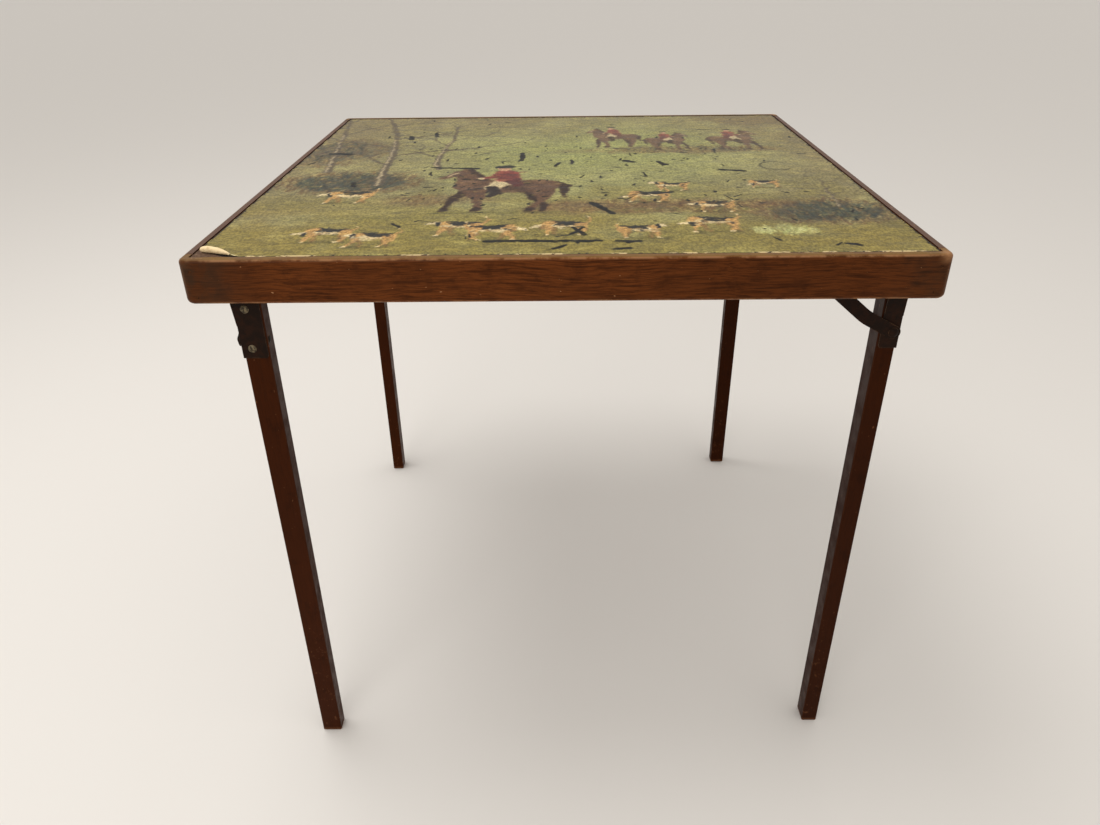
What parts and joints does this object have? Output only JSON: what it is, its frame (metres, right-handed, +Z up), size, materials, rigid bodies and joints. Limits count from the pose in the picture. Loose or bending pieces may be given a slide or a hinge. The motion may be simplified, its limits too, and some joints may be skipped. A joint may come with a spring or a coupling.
{
  "type": "folding card table",
  "caption": "Square wooden card table with a printed paper top set in a stained rail frame and straight legs that fold one by one under the top on slotted steel braces.",
  "frame": {"origin": "centre of the table on the floor plane, under the standing legs", "axes": "+Z up, +X to the right and -Y towards the viewer of the front rail"},
  "size_m": [0.762, 0.762, 0.701],
  "materials": {
    "stained_wood": "stained and varnished hardwood, worn pale along its edges",
    "leg_wood": "dark stained hardwood legs",
    "fibreboard": "brown pressed fibreboard",
    "print_paper": "varnished colour print on paper, scratched and yellowed",
    "dark_steel": "pressed steel with a dark bronze-brown oxide finish",
    "fastener_steel": "dull aged steel screw and rivet heads"
  },
  "bodies": {
    "frame": {"rail_front": "stained_wood", "rail_back": "stained_wood", "rail_left": "stained_wood", "rail_right": "stained_wood", "top_panel": "fibreboard", "print_sheet": "print_paper", "rail_nails": "fastener_steel", "bracket_screws": "fastener_steel", "track_screws": "fastener_steel", "hinge_bracket_front_right": "dark_steel", "pivot_pin_front_right": "fastener_steel", "brace_track_front_right": "dark_steel", "hinge_bracket_back_right": "dark_steel", "pivot_pin_back_right": "fastener_steel", "brace_track_back_right": "dark_steel", "hinge_bracket_back_left": "dark_steel", "pivot_pin_back_left": "fastener_steel", "brace_track_back_left": "dark_steel", "hinge_bracket_front_left": "dark_steel", "pivot_pin_front_left": "fastener_steel", "brace_track_front_left": "dark_steel"},
    "leg_assembly_front_right": {"leg_front_right": "leg_wood", "leg_plate_front_right": "dark_steel", "leg_plate_screws_front_right": "fastener_steel", "brace_rivet_front_right": "fastener_steel"},
    "brace_assembly_front_right": {"brace_front_right": "dark_steel", "brace_stud_front_right": "fastener_steel"},
    "leg_assembly_back_right": {"leg_back_right": "leg_wood", "leg_plate_back_right": "dark_steel", "leg_plate_screws_back_right": "fastener_steel", "brace_rivet_back_right": "fastener_steel"},
    "brace_assembly_back_right": {"brace_back_right": "dark_steel", "brace_stud_back_right": "fastener_steel"},
    "leg_assembly_back_left": {"leg_back_left": "leg_wood", "leg_plate_back_left": "dark_steel", "leg_plate_screws_back_left": "fastener_steel", "brace_rivet_back_left": "fastener_steel"},
    "brace_assembly_back_left": {"brace_back_left": "dark_steel", "brace_stud_back_left": "fastener_steel"},
    "leg_assembly_front_left": {"leg_front_left": "leg_wood", "leg_plate_front_left": "dark_steel", "leg_plate_screws_front_left": "fastener_steel", "brace_rivet_front_left": "fastener_steel"},
    "brace_assembly_front_left": {"brace_front_left": "dark_steel", "brace_stud_front_left": "fastener_steel"}
  },
  "joints": [
    {"name": "leg_fold_front_right", "type": "hinge", "parent": "frame", "child": "leg_assembly_front_right", "pos_m": [0.3494, -0.3417, 0.662], "axis": [0, 1, 0], "range_deg": [0, 90]},
    {"name": "brace_swing_front_right", "type": "hinge", "parent": "leg_assembly_front_right", "child": "brace_assembly_front_right", "pos_m": [0.3506, -0.3417, 0.603], "axis": [0, 1, 0], "range_deg": [-119.7, 0]},
    {"name": "leg_fold_back_right", "type": "hinge", "parent": "frame", "child": "leg_assembly_back_right", "pos_m": [0.3417, 0.3494, 0.662], "axis": [-1, 0, 0], "range_deg": [0, 90]},
    {"name": "brace_swing_back_right", "type": "hinge", "parent": "leg_assembly_back_right", "child": "brace_assembly_back_right", "pos_m": [0.3417, 0.3506, 0.603], "axis": [-1, 0, 0], "range_deg": [-119.7, 0]},
    {"name": "leg_fold_back_left", "type": "hinge", "parent": "frame", "child": "leg_assembly_back_left", "pos_m": [-0.3494, 0.3417, 0.662], "axis": [0, -1, 0], "range_deg": [0, 90]},
    {"name": "brace_swing_back_left", "type": "hinge", "parent": "leg_assembly_back_left", "child": "brace_assembly_back_left", "pos_m": [-0.3506, 0.3417, 0.603], "axis": [0, -1, 0], "range_deg": [-119.7, 0]},
    {"name": "leg_fold_front_left", "type": "hinge", "parent": "frame", "child": "leg_assembly_front_left", "pos_m": [-0.3417, -0.3494, 0.662], "axis": [1, 0, 0], "range_deg": [0, 90]},
    {"name": "brace_swing_front_left", "type": "hinge", "parent": "leg_assembly_front_left", "child": "brace_assembly_front_left", "pos_m": [-0.3417, -0.3506, 0.603], "axis": [1, 0, 0], "range_deg": [-119.7, 0]}
  ],
  "couplings": [
    {"joint": "brace_swing_front_right", "follows": "leg_fold_front_right", "ratio": -1.33},
    {"joint": "brace_swing_back_right", "follows": "leg_fold_back_right", "ratio": -1.33},
    {"joint": "brace_swing_back_left", "follows": "leg_fold_back_left", "ratio": -1.33},
    {"joint": "brace_swing_front_left", "follows": "leg_fold_front_left", "ratio": -1.33}
  ]
}
